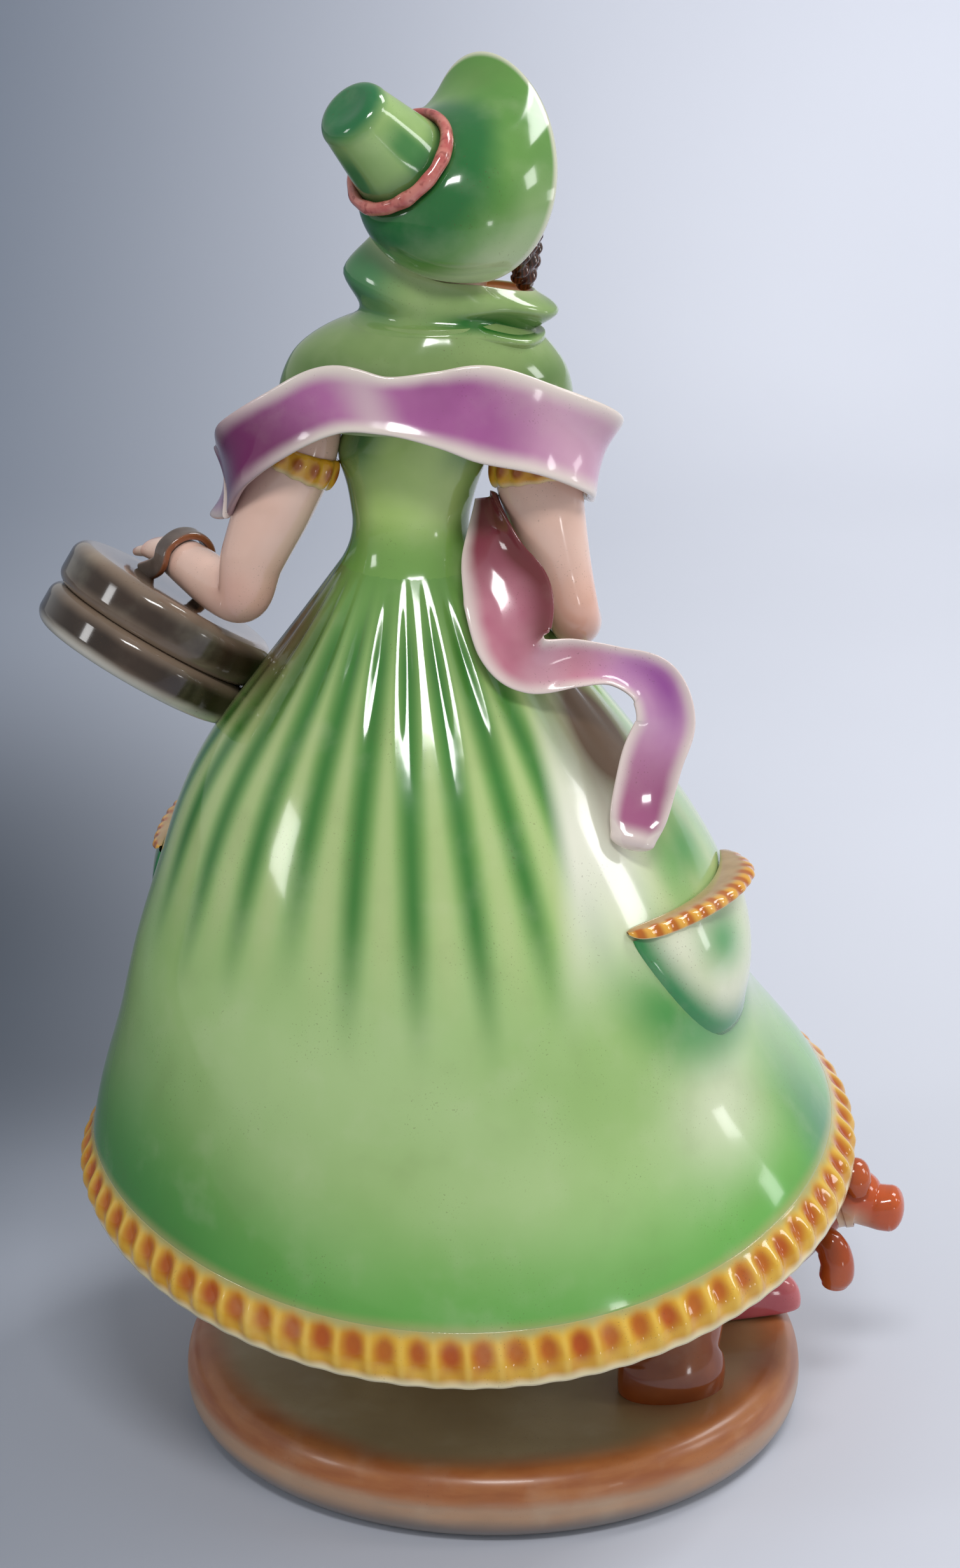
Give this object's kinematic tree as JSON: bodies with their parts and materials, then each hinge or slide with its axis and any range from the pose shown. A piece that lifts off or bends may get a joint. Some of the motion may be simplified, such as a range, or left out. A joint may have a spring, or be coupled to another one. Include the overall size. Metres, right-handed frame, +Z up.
{
  "type": "crinoline lady figurine",
  "caption": "Glazed ceramic lady in a pleated crinoline and bonnet, with shawl, hatbox and small dog, standing on a round base as a table ornament.",
  "frame": {"origin": "centre of the flat underside of the round base", "axes": "+Z up; the lady's back is towards -Y and her right hand towards +X"},
  "size_m": [0.2051, 0.1827, 0.3257],
  "materials": {
    "base_glaze": "glossy clear glaze over airbrushed beige and orange-brown",
    "cream_glaze": "glossy clear glaze over bare cream body",
    "green_glaze": "glossy clear glaze over airbrushed yellow-green, darker green in the folds and along edges",
    "yellow_glaze": "glossy clear glaze over orange-yellow with dabbed orange-brown dots",
    "skin_glaze": "glossy clear glaze over pale pink-beige",
    "hair_glaze": "glossy clear glaze over dark brown",
    "lilac_glaze": "glossy clear glaze over purple-magenta fading to cream at the edges",
    "grey_glaze": "glossy clear glaze over dark grey-brown, cream on the ridges",
    "strap_glaze": "glossy clear glaze over dark brown with orange-brown edges",
    "rose_glaze": "glossy clear glaze over mottled rose",
    "dog_glaze": "glossy clear glaze over orange-brown, cream under the jaw"
  },
  "bodies": {
    "root": {"base_plinth": "base_glaze", "underskirt": "cream_glaze", "skirt": "green_glaze", "hem_frill": "yellow_glaze", "pocket_right_cup": "green_glaze", "pocket_left_cup": "green_glaze", "pocket_right_frill": "yellow_glaze", "pocket_left_frill": "yellow_glaze", "bodice": "green_glaze", "cape": "green_glaze", "collar": "green_glaze", "head": "skin_glaze", "hair": "hair_glaze", "ringlets_right": "hair_glaze", "ringlets_left": "hair_glaze", "bonnet_brim": "green_glaze", "bonnet_crown": "green_glaze", "bonnet_ribbon": "rose_glaze", "sleeve_frill_right": "yellow_glaze", "sleeve_frill_left": "yellow_glaze", "arm_right": "skin_glaze", "arm_left": "skin_glaze", "hand_right": "skin_glaze", "hand_left": "skin_glaze", "shawl_back": "lilac_glaze", "shawl_tail": "lilac_glaze", "shawl_end": "lilac_glaze", "hatbox_body": "grey_glaze", "hatbox_lid": "grey_glaze", "hatbox_strap": "strap_glaze", "shoe_right": "rose_glaze", "shoe_left": "rose_glaze", "dog_body": "dog_glaze", "dog_head": "dog_glaze", "dog_ear_right": "dog_glaze", "dog_ear_left": "dog_glaze", "dog_foreleg_right": "dog_glaze", "dog_foreleg_left": "dog_glaze"}
  },
  "joints": []
}
